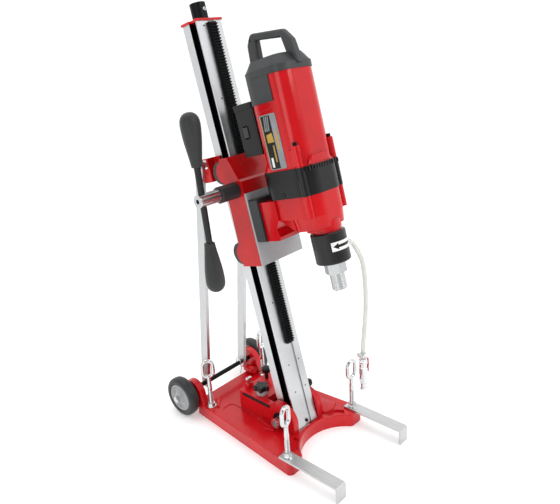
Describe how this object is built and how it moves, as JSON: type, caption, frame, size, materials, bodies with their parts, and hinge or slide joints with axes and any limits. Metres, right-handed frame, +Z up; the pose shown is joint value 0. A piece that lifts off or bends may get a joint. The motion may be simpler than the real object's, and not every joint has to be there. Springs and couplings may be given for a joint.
{
  "type": "core drill rig",
  "caption": "Wet core drill motor with a water hose, on a rack-fed carriage that runs on a leaning mast above a wheeled base with levelling bolts and swing-out bars.",
  "frame": {"origin": "on the floor, on the centre plane, where the line of the mast's front face meets the base's underside behind the notch", "axes": "+Z up, -Y towards the hole being drilled, -X the side of the feed handle"},
  "size_m": [0.337, 0.5713, 1.0156],
  "materials": {
    "base_red": "gloss",
    "motor_red": "gloss",
    "carriage_red": "satin",
    "zinc_steel": "satin",
    "bar_steel": "satin",
    "scale_label": "satin",
    "tyre_rubber": "matte",
    "rim_grey": "satin",
    "knob_black": "satin",
    "mast_aluminium": "satin",
    "rack_black": "oiled",
    "cap_red": "gloss",
    "plate_grey": "satin",
    "guide_black": "satin",
    "dark_steel": "satin",
    "bright_steel": "polished",
    "grip_rubber": "matte",
    "shell_black": "satin",
    "label_face": "satin",
    "screw_black": "oiled",
    "core_steel": "plain",
    "swivel_black": "satin",
    "seal_rubber": "matte",
    "brass_fitting": "satin",
    "hose_clear": "glossy",
    "valve_chrome": "polished",
    "lever_red": "gloss"
  },
  "bodies": {
    "base": {"base_plate": "base_red", "tilt_bracket": "base_red", "pivot_bolt": "zinc_steel", "flange_nuts": "zinc_steel", "wheel_axles": "zinc_steel", "cross_rod": "zinc_steel", "r_clip": "zinc_steel", "scale_strip": "scale_label"},
    "mast": {"mast_profile": "mast_aluminium", "rack": "rack_black", "top_cap": "cap_red"},
    "brace_tube": {"brace_tube": "zinc_steel"},
    "clamp": {"strut_clamp": "carriage_red", "clamp_bolts": "zinc_steel"},
    "struts": {"strut_left": "bar_steel", "strut_right": "bar_steel", "strut_bolts": "zinc_steel"},
    "carriage": {"carriage_casting": "carriage_red", "front_plate": "plate_grey", "guide_pads": "guide_black", "guide_discs": "guide_black", "feed_collar": "dark_steel", "mount_plate": "dark_steel", "mount_screws": "zinc_steel", "motor_housing": "motor_red", "motor_cap": "shell_black", "side_covers": "shell_black", "rating_plate": "label_face", "mid_ring": "shell_black", "housing_screws": "screw_black", "gear_housing": "motor_red", "stator": "core_steel", "bearings": "core_steel", "swivel_body": "swivel_black", "swivel_seals": "seal_rubber", "swivel_barb": "brass_fitting", "water_hose": "hose_clear", "hose_clamp": "zinc_steel", "water_valve": "valve_chrome", "switch_box": "shell_black"},
    "feed": {"feed_shaft": "bright_steel", "feed_hub": "bright_steel", "feed_rod": "bright_steel", "feed_grips": "grip_rubber"},
    "spindle": {"spindle": "bright_steel"},
    "layshaft": {"layshaft": "bright_steel"},
    "armature": {"armature": "core_steel"},
    "switch_rocker": {"switch_rocker": "shell_black"},
    "valve_lever": {"valve_lever": "lever_red"},
    "eye_bolt_fl": {"eye_bolt_fl": "zinc_steel"},
    "eye_bolt_fr": {"eye_bolt_fr": "zinc_steel"},
    "eye_bolt_rl": {"eye_bolt_rl": "zinc_steel"},
    "eye_bolt_rr": {"eye_bolt_rr": "zinc_steel"},
    "outrigger_left": {"outrigger_left": "bar_steel"},
    "outrigger_right": {"outrigger_right": "bar_steel"},
    "wheel_left": {"tyre_left": "tyre_rubber", "rim_left": "rim_grey"},
    "wheel_right": {"tyre_right": "tyre_rubber", "rim_right": "rim_grey"},
    "tilt_knob": {"tilt_knob": "knob_black"}
  },
  "joints": [
    {"name": "mast_tilt", "type": "hinge", "parent": "base", "child": "mast", "pos_m": [0, 0.05, 0.058], "axis": [-1, 0, 0], "range_deg": [-13.5, 12]},
    {"name": "strut_swing", "type": "hinge", "parent": "base", "child": "struts", "pos_m": [0, 0.308, 0.072], "axis": [-1, 0, 0], "range_deg": [-15.69, 14]},
    {"name": "clamp_slide", "type": "slide", "parent": "mast", "child": "clamp", "axis": [0, 0.2334, 0.9724], "range_m": [-0.0658, 0.0586]},
    {"name": "brace_slide", "type": "slide", "parent": "mast", "child": "brace_tube", "axis": [0, 0.2334, 0.9724], "range_m": [0, 0.1]},
    {"name": "carriage_slide", "type": "slide", "parent": "mast", "child": "carriage", "axis": [0, 0.2334, 0.9724], "range_m": [-0.04, 0.28]},
    {"name": "feed_turn", "type": "hinge", "parent": "carriage", "child": "feed", "pos_m": [0, 0.12412, 0.62839], "axis": [1, 0, 0], "range_deg": [-1004, 145]},
    {"name": "armature_spin", "type": "hinge", "parent": "carriage", "child": "armature", "pos_m": [0, 0.00297, 0.71918], "axis": [0, 0.2334, 0.9724], "continuous": true},
    {"name": "layshaft_spin", "type": "hinge", "parent": "carriage", "child": "layshaft", "pos_m": [0.0198, -0.03817, 0.60564], "axis": [0, 0.2334, 0.9724], "continuous": true},
    {"name": "spindle_spin", "type": "hinge", "parent": "carriage", "child": "spindle", "pos_m": [0, -0.07872, 0.53311], "axis": [0, 0.2334, 0.9724], "continuous": true},
    {"name": "switch_rock", "type": "hinge", "parent": "carriage", "child": "switch_rocker", "pos_m": [-0.037, 0.10286, 0.7497], "axis": [0, -0.9724, 0.2334], "range_deg": [-6, 6]},
    {"name": "valve_turn", "type": "hinge", "parent": "carriage", "child": "valve_lever", "pos_m": [0.1195, -0.08176, 0.18], "axis": [1, 0, 0], "range_deg": [0, 90]},
    {"name": "level_fl", "type": "slide", "parent": "base", "child": "eye_bolt_fl", "axis": [0, 0, 1], "range_m": [-0.03, 0.02]},
    {"name": "level_fr", "type": "slide", "parent": "base", "child": "eye_bolt_fr", "axis": [0, 0, 1], "range_m": [-0.03, 0.02]},
    {"name": "level_rl", "type": "slide", "parent": "base", "child": "eye_bolt_rl", "axis": [0, 0, 1], "range_m": [-0.03, 0.02]},
    {"name": "level_rr", "type": "slide", "parent": "base", "child": "eye_bolt_rr", "axis": [0, 0, 1], "range_m": [-0.03, 0.02]},
    {"name": "outrigger_left_swing", "type": "hinge", "parent": "base", "child": "outrigger_left", "pos_m": [-0.1227, -0.0353, 0.0365], "axis": [0, 0, -1], "range_deg": [-20, 90]},
    {"name": "outrigger_right_swing", "type": "hinge", "parent": "base", "child": "outrigger_right", "pos_m": [0.1227, -0.0353, 0.0365], "axis": [0, 0, 1], "range_deg": [-20, 90]},
    {"name": "wheel_left_roll", "type": "hinge", "parent": "base", "child": "wheel_left", "pos_m": [-0.13, 0.33, 0.0535], "axis": [1, 0, 0], "continuous": true},
    {"name": "wheel_right_roll", "type": "hinge", "parent": "base", "child": "wheel_right", "pos_m": [0.13, 0.33, 0.0535], "axis": [1, 0, 0], "continuous": true},
    {"name": "knob_turn", "type": "hinge", "parent": "base", "child": "tilt_knob", "pos_m": [-0.03, 0.132, 0.1], "axis": [0, 0, 1], "range_deg": [-180, 180]}
  ],
  "couplings": [
    {"joint": "strut_swing", "follows": "mast_tilt", "ratio": 1.125},
    {"joint": "clamp_slide", "follows": "mast_tilt", "m_per_rad": 0.275},
    {"joint": "feed_turn", "follows": "carriage_slide", "rad_per_m": -62.5},
    {"joint": "layshaft_spin", "follows": "armature_spin", "ratio": -0.33333},
    {"joint": "spindle_spin", "follows": "armature_spin", "ratio": 0.14286}
  ]
}
